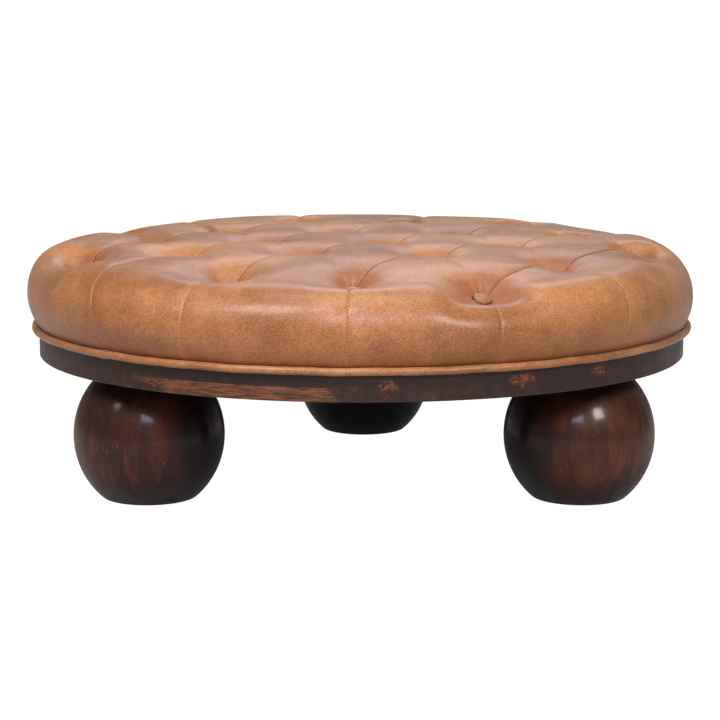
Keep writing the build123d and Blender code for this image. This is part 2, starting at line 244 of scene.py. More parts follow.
floor_mesh = bpy.data.meshes.new("floor")
floor_corners = [(x * floor_half, y * floor_half, 0) for x, y in ((-1, -1), (1, -1), (1, 1), (-1, 1))]
floor_mesh.from_pydata(floor_corners, [], [(0, 1, 2, 3)])
floor = put_in_scene("floor", floor_mesh)
floor_paint = bpy.data.materials.new("white_painted_floor")
ground = bare_tree(floor_paint)
matt = add_node(ground, "ShaderNodeBsdfDiffuse", {"Color": linear("#b2aeaa")})
glow = add_node(ground, "ShaderNodeEmission", {"Color": white, "Strength": glow_strength})
seen = seen_directly(ground, floor_in_gloss)
share = add_node(ground, "ShaderNodeMath", {0: seen, 1: glow_share}, operation="MULTIPLY")
floor_mix = add_node(
    ground, "ShaderNodeMixShader", {0: share.outputs[0], 1: matt.outputs[0], 2: glow.outputs[0]}
)
add_node(ground, "ShaderNodeOutputMaterial", {"Surface": floor_mix.outputs[0]})
floor_mesh.materials.append(floor_paint)
bpy.context.scene.view_settings.view_transform = "Standard"
print("floor of", 2 * floor_half, "m, world fill", world_fill)

# %% [markdown]
# The cushion's plain form is a body of revolution: a faint crown, a round roll over the edge and a
# side that draws in to the foot. It is described by one number, the run along the leather from the
# middle outwards, because leather is a skin: measured along the skin, folds and seams keep their
# real spacing even where they go over the edge.

# %% Plain form of the cushion
top_height = 325.5 * MM
crown_rise = 4.5 * MM
widest_height = 256.0 * MM
cushion_radius = 457.5 * MM
foot_radius = 443.0 * MM
foot_height = 212.4 * MM
roll_radius = top_height - widest_height
roll_centre = cushion_radius - roll_radius
side_drop = widest_height - foot_height
side_tuck = cushion_radius - foot_radius
side_radius = (side_drop**2 + side_tuck**2) / (2 * side_tuck)
roll_run = roll_radius * pi / 2
side_run = side_radius * np.arcsin(side_drop / side_radius)
whole_run = roll_centre + roll_run + side_run


def plain_form(run):
    """Radius, height, and the outward direction's two parts, at a run from the middle."""
    share = np.minimum(run / roll_centre, 1)
    turn = np.clip((run - roll_centre) / roll_radius, 0, pi / 2)
    tuck = np.clip((run - roll_centre - roll_run) / side_radius, 0, pi / 2)
    radius = np.minimum(run, roll_centre) + roll_radius * np.sin(turn)
    radius -= side_radius * (1 - np.cos(tuck))
    height = widest_height + roll_radius * np.cos(turn) + crown_rise * (1 - share**2) ** 2
    height -= side_radius * np.sin(tuck)
    return radius, height, np.sin(turn) * np.cos(tuck), np.cos(turn) - np.sin(tuck)


print("run of the leather from middle to foot", round(whole_run / MM, 1), "mm")

# %% [markdown]
# The buttons stand in rows, each row moved by half a step, as in any deep-buttoned seat. The whole
# pattern is turned a little and a few buttons are nudged, because it was set out by hand. Between
# neighbours the leather is sewn along one diagonal and only folded along the other, and from the
# outer buttons sewn folds run over the edge.

# %% Places of the buttons, seams and folds
tuft_spacing = 168.0 * MM
tuft_row_pitch = 152.0 * MM
tuft_shift = 28.0 * MM
tuft_turn = radians(8)
outer_tuft_radius = 392.0 * MM
tuft_rows = {
    -2: (-1, 0, 1),
    -1: (-2.5, -1.5, -0.5, 0.5, 1.5),
    0: (-2, -1, 0, 1, 2),
    1: (-2.5, -1.5, -0.5, 0.5, 1.5),
    2: (-1, 0, 1),
}
hand_nudges = {
    (-2, -1): (14 * MM, -20 * MM),
    (-2, 0): (3 * MM, -36 * MM),
    (-2, 1): (-3 * MM, -36 * MM),
    (-1, -2.5): (-4 * MM, -26 * MM),
    (-1, 1.5): (-4 * MM, -14 * MM),
    (0, 1): (6 * MM, 0),
    (0, 2): (12 * MM, 0),
}
edge_angles = {
    (-2, -1): -29.0, (-2, 0): -2.3, (-2, 1): 21.7, (-1, 1.5): 47.2, (0, 2): 82.0,
    (1, 1.5): 114.0, (2, 1): 142.5, (2, 0): 165.0, (2, -1): 190.0, (1, -1.5): 217.0,
    (1, -2.5): 240.0, (-1, -2.5): 288.0, (-1, -1.5): 313.7,
}


def tuft_place(row, step):
    """Plan place of one button on the skin laid flat."""
    across, deep = step * tuft_spacing, row * tuft_row_pitch
    nudge = hand_nudges.get((row, step), (0, 0))
    x = across * cos(tuft_turn) + deep * sin(tuft_turn) + tuft_shift + nudge[0]
    y = deep * cos(tuft_turn) - across * sin(tuft_turn) + nudge[1]
    pull = min(1, outer_tuft_radius / np.hypot(x, y))
    return np.array((x * pull, y * pull))


def rim_place(angle, run=whole_run):
    """A place on the skin laid flat at an angle from the front and a run from the middle."""
    return np.stack((run * np.sin(np.radians(angle)), -run * np.cos(np.radians(angle))), -1)


tufts = {(row, step): tuft_place(row, step) for row, steps in tuft_rows.items() for step in steps}


def pairs(lean):
    """Neighbouring buttons in rows that follow each other, leaning left or right."""
    found = [(key, (key[0] + 1, key[1] + lean)) for key in tufts]
    return [(tufts[a], tufts[b]) for a, b in found if b in tufts]


sewn_lines = pairs(0.5)
fold_lines = pairs(-0.5)
edge_lines = [(tufts[key], rim_place(angle)) for key, angle in edge_angles.items()]
print(len(tufts), "buttons", len(sewn_lines), "seams", len(fold_lines), "folds", len(edge_lines))

# %% [markdown]
# How deep the leather is drawn in at each place is worked out, not sculpted. Each button pulls a
# pit whose wall fades out like a hung cloth, each seam or fold sinks a soft valley with a sharp
# root, and the edge seams carry that valley over the roll. The pulls are joined as a rounded
# maximum, so pits run into folds without a step. Small puckers stand round each button, and slack
# or well filled places of the stuffing are added last.

# %% Sizes of pits, seams and folds
button_seat = 13.0 * MM
pit_depth = 36.0 * MM
pit_fade, pit_power = 31.0 * MM, 1.25
shallow_pits = {(-2, 1): 13.0 * MM, (-2, 0): 19.0 * MM, (-2, -1): 25.0 * MM, (-1, 1.5): 25.0 * MM}
tight_fade, tight_power = 24.0 * MM, 2.0
tight_pits = {(-1, -2.5), (0, 2), (2, -1), (2, 0), (2, 1), (1, 1.5), (1, -2.5)}
seam_root, fold_root, edge_root = 1.0 * MM, 3.0 * MM, 1.2 * MM
fold_depth, fold_fade = 3.0 * MM, 13.0 * MM
pull_depth, pull_reach = 11.0 * MM, 22.0 * MM
# how deep each edge seam still is where it crosses the crest of the roll
crest_run = 395.0 * MM
flush_seam = 2.0 * MM
sunk_seams = {(-2, -1): 6 * MM, (-2, 0): 6 * MM, (-2, 1): 14 * MM, (-1, 1.5): 5 * MM}
shortest_fade = 8.0 * MM
edge_dent, edge_width = 1.2 * MM, 8.0 * MM
crest_width, crest_reach = 20.0 * MM, 45.0 * MM
foot_hold = 40.0 * MM
seam_groove, groove_width = 0.9 * MM, 1.4 * MM
join_power = 2.5
# puckers round a button: how many to the round, and their share of the height
pucker_waves = ((7, 1.0), (11, 0.8), (17, 0.5))
pucker_height, pucker_reach = 0.5 * MM, 16.0 * MM
# slack and fullness of the stuffing: angle, run, their reaches, and the depth (full where negative)
stuffing = [
    (-3.0, 392 * MM, 55.0, 46 * MM, 12.0 * MM),
    (21.5, 425 * MM, 7.5, 38 * MM, 21.0 * MM),
    (0.0, 190 * MM, 70.0, 75 * MM, -4.5 * MM),
    (-2.3, 378 * MM, 7.0, 30 * MM, 5.0 * MM),
    (50.0, 385 * MM, 22.0, 50 * MM, 8.0 * MM),
    (-72.0, 402 * MM, 11.0, 36 * MM, 24.0 * MM),
    (76.0, 404 * MM, 9.0, 32 * MM, 14.0 * MM),
    (-112.0, 388 * MM, 26.0, 50 * MM, 6.0 * MM),
    (120.0, 388 * MM, 14.0, 45 * MM, 6.0 * MM),
    (-88.0, 445 * MM, 38.0, 42 * MM, -6.0 * MM),
    (-90.0, 505 * MM, 45.0, 60 * MM, -2.0 * MM),
]
# gentle unevenness all over: waves of a random direction and pitch, phase and height
swell_count, swell_pitch = 14, 26
rng = np.random.default_rng(7)
swell_waves = [
    (rng.normal(size=2) * swell_pitch, rng.uniform(0, tau), rng.uniform(0.1, 0.3) * MM)
    for _ in range(swell_count)
]
pucker_phases = rng.uniform(0, tau, (len(tufts), len(pucker_waves)))
pit_pulls = [(place, shallow_pits.get(key, pit_depth)) for key, place in tufts.items()]
print("pits", round(pit_depth / MM), "mm deep,", len(shallow_pits), "of them shallower")

# %% Draw of the tufts


def to_line(points, start, end):
    """Distance to a straight stretch, run along it, and its length."""
    along = end - start
    length = np.linalg.norm(along)
    run = np.clip((points - start) @ along / length, 0, length)
    gap = np.linalg.norm(points - start - run[:, None] * along / length, axis=1)
    return gap, run, length


def draw_in(points):
    """How far the skin is drawn in at places on the skin laid flat."""
    total = np.zeros(len(points))
    run = np.linalg.norm(points, axis=1)
    edge_fade = 1 - np.clip((run - whole_run + foot_hold) / foot_hold, 0, 1)
    pucker = np.zeros(len(points))
    for (key, place), phases in zip(tufts.items(), pucker_phases):
        off = points - place
        gap = np.maximum(np.linalg.norm(off, axis=1), button_seat)
        tight = key in tight_pits
        fade, power = (tight_fade, tight_power) if tight else (pit_fade, pit_power)
        wall = (button_seat / fade) ** power - (gap / fade) ** power
        total += (shallow_pits.get(key, pit_depth) * np.exp(wall)) ** join_power
        angle = np.arctan2(off[:, 1], off[:, 0])
        for (count, height), phase in zip(pucker_waves, phases):
            wave = pucker_height * height * np.sin(count * angle + phase)
            pucker += wave * np.exp(-((gap - button_seat) / pucker_reach))
    groove = np.zeros(len(points))
    for lines, root, sewn in ((sewn_lines, seam_root, True), (fold_lines, fold_root, False)):
        for start, end in lines:
            gap, along, length = to_line(points, start, end)
            ends = np.minimum(along, length - along)
            pulls = [pull for place, pull in pit_pulls if place is start or place is end]
            depth = fold_depth + pull_depth * np.exp(-ends / pull_reach) * min(pulls) / pit_depth
            soft = np.sqrt(gap**2 + root**2) - root
            total += (depth * np.exp(-soft / fold_fade)) ** join_power
            if sewn:
                groove += seam_groove * np.exp(-((gap / groove_width) ** 2))
    for key, (start, end) in zip(edge_angles, edge_lines):
        gap, along, _ = to_line(points, start, end)
        crest = sunk_seams.get(key, flush_seam)
        fade = max(crest_run - np.linalg.norm(start), shortest_fade) / np.log(pit_depth / crest)
        top = shallow_pits.get(key, pit_depth)
        depth = top * np.exp(-along / fade) + edge_dent * edge_fade
        sunk = crest > flush_seam
        width = edge_width + sunk * crest_width * np.exp(-along / crest_reach)
        soft = np.sqrt(gap**2 + edge_root**2) - edge_root
        total += (depth * np.exp(-soft / width)) ** join_power
        groove += seam_groove * np.exp(-((gap / groove_width) ** 2)) * edge_fade
    swell = sum(h * np.sin(points @ wave + phase) for wave, phase, h in swell_waves)
    heading = np.degrees(np.arctan2(points[:, 0], -points[:, 1]))
    for angle, middle_run, wide, long, depth in stuffing:
        turn = (heading - angle + 180) % 360 - 180
        swell = swell + depth * np.exp(-((turn / wide) ** 4) - ((run - middle_run) / long) ** 2)
    return total ** (1 / join_power) + groove + (pucker + swell) * edge_fade


# %% [markdown]
# On the flat top the leather is drawn straight down. Towards the edge the pull leans over until it
# follows the roll's own inward direction, so a seam on the side is pressed in and not dragged down.

# %% Places on the finished leather
lean_lead, lean_run = 8.0 * MM, 90.0 * MM


def skin(points, lift=0.0):
    """Places on the finished leather for places on the skin laid flat, and their depth."""
    run = np.linalg.norm(points, axis=1)
    angle = np.arctan2(points[:, 0], -points[:, 1])
    radius, height, out, up = plain_form(run)
    lean = np.clip((run - roll_centre + lean_lead) / lean_run, 0, 1)
    lean = lean * lean * (3 - 2 * lean)
    out, up = out * lean, up * lean + 1 - lean
    size = np.hypot(out, up)
    depth = draw_in(points) - lift
    radius = radius - depth * out / size
    height = height - depth * up / size
    return np.stack((radius * np.sin(angle), -radius * np.cos(angle), height), 1), depth


middle = skin(np.array([[0.0, 0.0]]))[0][0]
print("height at the middle", round(middle[2] / MM, 1), "mm")

# %% [markdown]
# The mesh follows the upholstery: every panel between seams and folds is its own grid, so each
# crease lies on mesh edges and stays crisp. A plain grid laid over everything would need far more
# faces for the same crease. Rows crowd together near the seams, where the shape changes fast.

# %% Panels of the cushion
across_steps = 52
down_steps = 56
crowding = 0.75


def crowded(steps):
    """Shares from nought to one that lie closer at both ends."""
    even = np.linspace(0, 1, steps + 1)
    return even - crowding * np.sin(tau * even) / tau


def diamond(front, left, right, back):
    """Flat places of a panel between four buttons."""
    s, t = np.meshgrid(crowded(across_steps), crowded(across_steps), indexing="ij")
    s, t = s[..., None], t[..., None]
    return (1 - s) * (1 - t) * front + s * (1 - t) * right + (1 - s) * t * left + s * t * back


def apron(first, second, first_angle, second_angle):
    """Flat places of a panel between two buttons and the cushion's foot."""
    s = crowded(across_steps)[:, None]
    t = crowded(down_steps)[None, :, None]
    inner = first + (second - first) * s
    outer = rim_place(first_angle + (second_angle - first_angle) * s[:, 0])
    return inner[:, None, :] * (1 - t) + outer[:, None, :] * t


panels = []
for (row, step), place in tufts.items():
    corners = [(row + 1, step - 0.5), (row + 1, step + 0.5), (row + 2, step)]
    if all(c in tufts for c in corners):
        panels.append(diamond(place, *[tufts[c] for c in corners]))
ring = sorted(edge_angles.items(), key=lambda item: item[1])
for (key, angle), (next_key, next_angle) in zip(ring, ring[1:] + ring[:1]):
    if next_angle < angle:
        next_angle += 360
    joined = abs(key[0] - next_key[0]) == 1 and abs(key[1] - next_key[1]) == 0.5
    if joined:
        panels.append(apron(tufts[key], tufts[next_key], angle, next_angle))
        continue
    between = min(tufts, key=lambda k: sum(
        abs(abs(k[0] - m[0]) - 1) + abs(abs(k[1] - m[1]) - 0.5) for m in (key, next_key)
    ) + np.linalg.norm(tufts[k]) / 10)
    middle_angle = (angle + next_angle) / 2
    panels.append(apron(tufts[key], tufts[between], angle, middle_angle))
    panels.append(apron(tufts[between], tufts[next_key], middle_angle, next_angle))
print(len(panels), "panels")

# %% Join the panels into one skin
same_place = 0.001 * MM


def panel_faces(panel, first):
    """Quads of a panel, turned so that they face up."""
    rows, columns = panel.shape[:2]
    index = np.arange(rows * columns).reshape(rows, columns) + first
    quads = np.stack((index[:-1, :-1], index[1:, :-1], index[1:, 1:], index[:-1, 1:]), -1)
    a, b = panel[-1, -1] - panel[0, 0], panel[0, -1] - panel[-1, 0]
    quads = quads.reshape(-1, 4)
    return quads if a[0] * b[1] - a[1] * b[0] > 0 else quads[:, ::-1]


flat, quads = [], []
for panel in panels:
    quads.append(panel_faces(panel, sum(len(f) for f in flat)))
    flat.append(panel.reshape(-1, 2))
flat, quads = np.concatenate(flat), np.concatenate(quads)
_, kept, joined_to = np.unique(
    np.round(flat / same_place), axis=0, return_index=True, return_inverse=True
)
flat = flat[kept]
quads = joined_to.reshape(-1)[quads]
places, depth = skin(flat)
print("skin", len(flat), "places,", len(quads), "faces")

# %% [markdown]
# Underneath, the cover is turned in over the seat board and is hollow for the board and the foam.
# Rings of vertices follow the skin's own rim in, up and in again, and a fan closes the ceiling, so
# the cushion is one closed shell.

# %% Close the cushion underneath
rim = np.flatnonzero(np.linalg.norm(flat, axis=1) > whole_run - 0.01 * MM)
rim_angle = np.arctan2(flat[rim, 0], -flat[rim, 1])
rim = rim[np.argsort(rim_angle)]
rim_angle = np.sort(rim_angle)
# radius and height in mm of the turned-under flap and the hollow for seat board and foam
hollow = [
    (441.5, 212.5), (408.0, 212.5), (408.0, 213.5), (441.8, 213.5), (441.8, 225.9),
    (420.3, 225.9), (420.3, 273.9),
]
rings = [rim]
extra = []
for ring_radius, ring_height in hollow:
    start = len(places) + sum(len(e) for e in extra)
    around = (ring_radius * MM * np.sin(rim_angle), -ring_radius * MM * np.cos(rim_angle))
    extra.append(np.stack((*around, np.full(len(rim), ring_height * MM)), 1))
    rings.append(np.arange(start, start + len(rim)))
walls = []
for upper, lower in zip(rings, rings[1:]):
    walls.append(np.stack((upper, np.roll(upper, -1), np.roll(lower, -1), lower), 1)[:, ::-1])
hub = len(places) + sum(len(e) for e in extra)
extra.append(np.array([[0, 0, hollow[-1][1] * MM]]))
fan = [(int(a), int(b), hub) for a, b in zip(np.roll(rings[-1], -1), rings[-1])]
vertices = np.concatenate([places, *extra])
faces = np.concatenate([quads, *walls]).tolist() + fan

cushion_mesh = bpy.data.meshes.new("tufted_cushion")
cushion_mesh.from_pydata(vertices.tolist(), [], faces)
cushion_mesh.shade_smooth()
cushion = put_in_scene("tufted_cushion", cushion_mesh)
print("cushion", len(vertices), "vertices", len(faces), "faces, top", round(places[:, 2].max() / MM, 1))

# %% [markdown]
# The leather's material has to know where the seams run and how far it is drawn in. These distances
# are kept on the vertices, as attributes, so the pattern follows the surface and can't slide.

# %% Distances kept on the vertices


def nearest_line(points, lines):
    """Distance to the nearest of some lines, and the run along it."""
    best, best_run = np.full(len(points), 1.0), np.zeros(len(points))
    for start, end in lines:
        gap, run, _ = to_line(points, start, end)
        closer = gap < best
        best, best_run = np.where(closer, gap, best), np.where(closer, run, best_run)
    return best, best_run


def store(mesh, name, values, rest=1.0):
    """Keep one number for each vertex; vertices past the list get the rest value."""
    full = np.full(len(mesh.vertices), rest, np.float32)
    full[: len(values)] = values
    mesh.attributes.new(name, "FLOAT", "POINT").data.foreach_set("value", full)


edge_gap, edge_run = nearest_line(flat, edge_lines)
store(cushion_mesh, "top_seam", nearest_line(flat, sewn_lines)[0])
store(cushion_mesh, "edge_seam", edge_gap)
store(cushion_mesh, "edge_run", edge_run, 0.0)
store(cushion_mesh, "drawn_in", depth, 0.0)
print("attributes", [a.name for a in cushion_mesh.attributes if a.data_type == "FLOAT"])

# %% [markdown]
# The leather is a tan aniline cowhide, waxed by hand. Dye sinks into the hide unevenly, so it is
# mottled in patches of a hand's width, with specks and pores over everything, which are drawn about
# two millimetres wide, as coarse as they need to be to show. It is darker in the roots of the seams,
# rubbing leaves a pale line beside the edge seams, and the sheen is dusty, because the wax scatters
# light. Darker leather in the pits, towards the foot and in the gap above the piping is painted shade.

# %% Leather
stitch_length = 4.6 * MM
hole_length = 0.42 * stitch_length


def painted_shade_and_seam_tones(tree, place, colour):
    """Colour of a hide that is tucked, drawn in, seamed and sewn, with painted shade at the foot, above
    the piping and in the pits, and its added roughness.
    """
    height = add_node(tree, "ShaderNodeSeparateXYZ", {0: place}).outputs["Z"]
    drawn, top, edge, run = (
        add_node(tree, "ShaderNodeAttribute", attribute_name=name).outputs["Fac"]
        for name in ("drawn_in", "top_seam", "edge_seam", "edge_run")
    )
    # painted shade: darker towards the foot, in the shadowed gap against the piping, and down in the
    # pits
    colour = dyed(tree, colour, linear("#7c431f"), height, 214 * MM, 262 * MM, 0.36, 0.0)
    colour = dyed(tree, colour, linear("#55301b"), height, 216 * MM, 222 * MM, 0.6, 0.0)
    colour = dyed(tree, colour, linear("#8a4a24"), drawn, 8 * MM, 34 * MM, 0.0, 0.62)
    # rubbed pale beside the edge seams, dark in the root of the top seams
    colour = dyed(tree, colour, linear("#d7a57c"), edge, 0.6 * MM, 1.6 * MM, 0.24, 0.0)
    colour = dyed(tree, colour, linear("#4a2712"), top, 0.3 * MM, 1.1 * MM, 0.85, 0.0)
    # one needle hole at the start of each stitch
    beat = add_node(tree, "ShaderNodeMath", {0: run, 1: stitch_length}, operation="MODULO").outputs[0]
    hole = add_node(tree, "ShaderNodeMath", {0: beat, 1: hole_length}, operation="LESS_THAN")
    near = add_node(tree, "ShaderNodeMath", {0: edge, 1: 1.2 * MM}, operation="LESS_THAN")
    both = {0: hole.outputs[0], 1: near.outputs[0]}
    dots = add_node(tree, "ShaderNodeMath", both, operation="MULTIPLY").outputs[0]
    colour = dyed(tree, colour, linear("#4f2a14"), edge, 0.4 * MM, 1.0 * MM, 0.8, 0.2, only=dots)
    rougher = add_node(
        tree,
        "ShaderNodeMapRange",
        {"Value": drawn, "From Min": 10 * MM, "From Max": 34 * MM, "To Max": 0.12},
        interpolation_type="SMOOTHSTEP",
    )
    return colour, rougher.outputs[0]


def leather(name, sewn=False, pressed=False):
    """Waxed tan aniline hide: a soft, uneven brown with a dusty sheen."""
    material, tree, shader = new_material(
        name,
        **{
            "IOR": 1.45,
            "Specular IOR Level": 0.5,
            "Sheen Weight": 0.16,
            "Sheen Roughness": 0.42,
            "Sheen Tint": linear("#fff0dc"),
            "Coat Weight": 0.28,
            "Coat Roughness": 0.2,
            "Coat IOR": 1.4,
        },
    )
    place = add_node(tree, "ShaderNodeTexCoord").outputs["Object"]
    patches = pattern(tree, place, 125 * MM, 6.0, 0.62)
    clouds = pattern(tree, place, 32.26 * MM, 4.0, 0.6)
    mottle = pattern(tree, place, 8.333 * MM, 4.0, 0.6)
    specks = pattern(tree, place, 1.852 * MM, 3.0, 0.7)
    pores = pattern(tree, place, 2.326 * MM, 3.0, 0.7)
    colour = dyed(tree, linear("#89552b"), linear("#b27a48"), patches, 0.36, 0.64)
    colour = dyed(tree, colour, linear("#ad7c56"), clouds, 0.5, 0.74, 0.0, 0.3)
    colour = dyed(tree, colour, linear("#8a4f28"), mottle, 0.42, 0.68, 0.0, 0.3)
    colour = dyed(tree, colour, linear("#cf9c6e"), specks, 0.5, 0.62, 0.0, 0.34)
    colour = dyed(tree, colour, linear("#6f3c1c"), pores, 0.5, 0.62, 0.0, 0.5)
    rougher = None
    # the sewn cover also takes painted shade at its foot, above the piping and in its pits
    if sewn:
        colour, rougher = painted_shade_and_seam_tones(tree, place, colour)
    if pressed:
        # painted shade round the lower edge of each button's dome, where it sits in the leather
        crown = add_node(tree, "ShaderNodeAttribute", attribute_name="crown").outputs["Fac"]
        colour = dyed(tree, colour, linear("#3f210f"), crown, 0.42, 0.66, 0.92, 0.0)
    dress_shader(tree, shader, colour, clouds, 0.38, 0.53, more=rougher)
    relieve(tree, shader, specks, 0.15 * MM, 0.8)
    return material


cover_leather = leather("waxed_tan_aniline_hide", sewn=True)
trim_leather = leather("waxed_tan_hide_trim")
button_leather = leather("waxed_tan_hide_pressed_on_caps", pressed=True)
cushion_mesh.materials.append(cover_leather)
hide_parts("leather_cover")
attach(cushion, "root")
print("cushion dressed in", cover_leather.name)

# %% [markdown]
# Geometry Nodes place what repeats. Each tree here is made by the script, has named inputs for its
# sizes, and ends in Realize Instances and Set Material, because the export keeps no instances. The
# evaluated result is turned into a plain mesh, and the modifier is taken off again.

# %% Helpers for geometry trees


def new_tree(name, inputs):
    """A geometry tree with a mesh in and out and named number inputs."""
    tree = bpy.data.node_groups.new(name, "GeometryNodeTree")
    tree.interface.new_socket("Geometry", in_out="INPUT", socket_type="NodeSocketGeometry")
    for label, value in inputs.items():
        kind = "NodeSocketInt" if isinstance(value, int) else "NodeSocketFloat"
        tree.interface.new_socket(label, in_out="INPUT", socket_type=kind).default_value = value
    tree.interface.new_socket("Geometry", in_out="OUTPUT", socket_type="NodeSocketGeometry")
    return tree, add_node(tree, "NodeGroupInput")


def end_tree(tree, geometry, material):
    """Realize the instances, set the material and close the tree."""
    real = add_node(tree, "GeometryNodeRealizeInstances", {"Geometry": geometry})
    dressed = add_node(
        tree, "GeometryNodeSetMaterial", {"Geometry": real.outputs[0], "Material": material}
    )
    smooth = add_node(tree, "GeometryNodeSetShadeSmooth", {"Geometry": dressed.outputs[0]})
    add_node(tree, "NodeGroupOutput", {"Geometry": smooth.outputs[0]})


def grow(name, mesh, tree, sizes):
    """Run a geometry tree on a mesh and keep the result as a plain object."""
    seed = put_in_scene(name + "_seed", mesh)
    modifier = seed.modifiers.new("nodes", "NODES")
    modifier.node_group = tree
    for item in tree.interface.items_tree:
        if item.in_out == "INPUT" and item.name in sizes:
            modifier[item.identifier] = sizes[item.name]
    evaluated = seed.evaluated_get(bpy.context.evaluated_depsgraph_get())
    made = bpy.data.meshes.new_from_object(evaluated)
    made.name = name
    bpy.data.objects.remove(seed)
    piece = put_in_scene(name, made)
    print(name, len(made.vertices), "vertices", len(made.polygons), "faces")
    return piece


# %% [markdown]
# A tufting button is a thin metal cap with a round of the same leather pressed over it. Each one
# sits in its pit on a ring of leather: the ring's plane gives the way it faces, and where the
# leather would cover the cap it is raised. The front middle one is pulled deeper than its pit.

# %% Seats of the buttons
deep_buttons = {(-2, 0): 3.2 * MM}
seat_ring = 1.1 * button_seat
under_cap, most_buried = 10.0 * MM, 2.6 * MM
turns = np.linspace(0, tau, 12, endpoint=False)
circle = np.stack((np.cos(turns), np.sin(turns)), 1)
button_places, button_ups = [], []
for key, seat in tufts.items():
    ring_points = skin(seat + seat_ring * circle)[0]
    spokes = ring_points - ring_points.mean(axis=0)
    up = np.linalg.svd(spokes)[2][2]
    up = up * np.sign(up[2])
    # half way between the bottom of the pit and the ring round it
    seated = (skin(seat[None])[0][0] + ring_points.mean(axis=0)) / 2
    buried = ((skin(seat + under_cap * circle)[0] - seated) @ up).mean() - most_buried
    button_places.append(seated + up * (max(buried, 0) - deep_buttons.get(key, 0)))
    button_ups.append(up)
button_points = bpy.data.meshes.new("button_points")
button_points.from_pydata(np.array(button_places).tolist(), [], [])
button_points.attributes.new("up", "FLOAT_VECTOR", "POINT").data.foreach_set(
    "vector", np.array(button_ups, np.float32).ravel()
)
print(len(button_places), "buttons seated")

# %% [markdown]
# Twenty-one buttons are one shape on twenty-one points, so a tree with Instance on Points makes
# them all. The dome is a squashed sphere, and keeps its height as an attribute, which the material
# uses for painted shade round the dome's lower edge, where it sits in the leather.

# %% Tufting buttons
button_sizes = {"Diameter": 27.0 * MM, "Dome": 5.2 * MM, "Rise": 2.4 * MM}
tree, sizes = new_tree("buttons_on_points", button_sizes)
cap_radius = add_node(
    tree, "ShaderNodeMath", {0: sizes.outputs["Diameter"], 1: 0.5}, operation="MULTIPLY"
).outputs[0]
ball = add_node(tree, "GeometryNodeMeshUVSphere", {"Segments": 32, "Rings": 14, "Radius": 1.0})
dome_size = add_node(
    tree, "ShaderNodeCombineXYZ", {"X": cap_radius, "Y": cap_radius, "Z": sizes.outputs["Dome"]}
)
spot = add_node(tree, "GeometryNodeInputPosition")
spot_parts = add_node(tree, "ShaderNodeSeparateXYZ", {0: spot.outputs[0]})
crowned = add_node(
    tree,
    "GeometryNodeStoreNamedAttribute",
    {"Geometry": ball.outputs["Mesh"], "Name": "crown", "Value": spot_parts.outputs["Z"]},
)
dome = add_node(
    tree, "GeometryNodeTransform", {"Geometry": crowned.outputs[0], "Scale": dome_size.outputs[0]}
)
rise = add_node(tree, "ShaderNodeCombineXYZ", {"Z": sizes.outputs["Rise"]})
raised = add_node(
    tree,
    "GeometryNodeSetPosition",
    {"Geometry": sizes.outputs["Geometry"], "Offset": rise.outputs[0]},
)
facing = add_node(
    tree, "GeometryNodeInputNamedAttribute", {"Name": "up"}, data_type="FLOAT_VECTOR"
)
turned = add_node(
    tree, "FunctionNodeAlignRotationToVector", {"Vector": facing.outputs[0]}, axis="Z"
)
placed = add_node(
    tree,
    "GeometryNodeInstanceOnPoints",
    {"Points": raised.outputs[0], "Instance": dome.outputs[0], "Rotation": turned.outputs[0]},
)
end_tree(tree, placed.outputs[0], button_leather)
buttons = grow("tufting_buttons", button_points, tree, button_sizes)
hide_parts("tuft_buttons")
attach(buttons, "root")

# %% [markdown]
# The piping is a strip of hide sewn round a cord, and clamped between cushion and base. It follows
# a circle, so a tree sweeps a round section along one. Cord and hide are never quite even, so two
# small waves wander along the line and two more swell the section; all go round a whole number of
# times. The strip's ends lap over each other on the left of the front.

# %% Piping
piping_radius = 450.5 * MM
piping_height = 212.6 * MM
piping_section = 5.0 * MM
piping_joint = radians(-47)
lap_length, lap_rise, rise_share = 16 * MM, 0.7 * MM, 0.25
side_wander = 0.4
line_steps = 720
lap_angle = lap_length / piping_radius
sweep = piping_joint + np.linspace(0, tau + lap_angle, line_steps)
wander = 0.25 * MM * np.sin(sweep * 23) + 0.2 * MM * np.sin(sweep * 41 + 1)
line_radius = piping_radius + wander * side_wander
line = np.stack((line_radius * np.sin(sweep), -line_radius * np.cos(sweep), piping_height + wander), 1)
piping_line = bpy.data.meshes.new("piping_line")
piping_line.from_pydata(line.tolist(), [(i, i + 1) for i in range(line_steps - 1)], [])
swell = 1 + 0.015 * np.sin(sweep * 57) + 0.012 * np.sin(sweep * 93 + 2)
past_joint = (sweep - piping_joint - tau) / lap_angle
swell += lap_rise / piping_section * np.clip(past_joint / rise_share, 0, 1)
store(piping_line, "swell", swell)
piping_sizes = {"Section": piping_section, "Sides": 18}
tree, sizes = new_tree("piping_round_a_cord", piping_sizes)
track = add_node(tree, "GeometryNodeMeshToCurve", {"Mesh": sizes.outputs["Geometry"]})
section = add_node(
    tree,
    "GeometryNodeCurvePrimitiveCircle",
    {"Resolution": sizes.outputs["Sides"], "Radius": sizes.outputs["Section"]},
)
named = add_node(tree, "GeometryNodeInputNamedAttribute", {"Name": "swell"}, data_type="FLOAT")
tube = add_node(
    tree,
    "GeometryNodeCurveToMesh",
    {
        "Curve": track.outputs[0],
        "Profile Curve": section.outputs[0],
        "Scale": named.outputs[0],
        "Fill Caps": True,
    },
)
end_tree(tree, tube.outputs[0], trim_leather)
piping = grow("leather_piping", piping_line, tree, piping_sizes)
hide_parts("piping_leather")
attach(piping, "root")

# %% [markdown]
# The thread is waxed polyester, a shade darker than the hide. Its twist is what the eye gets: fine
# light and dark turns, less than a millimetre apart.

# %% Thread of the stitches


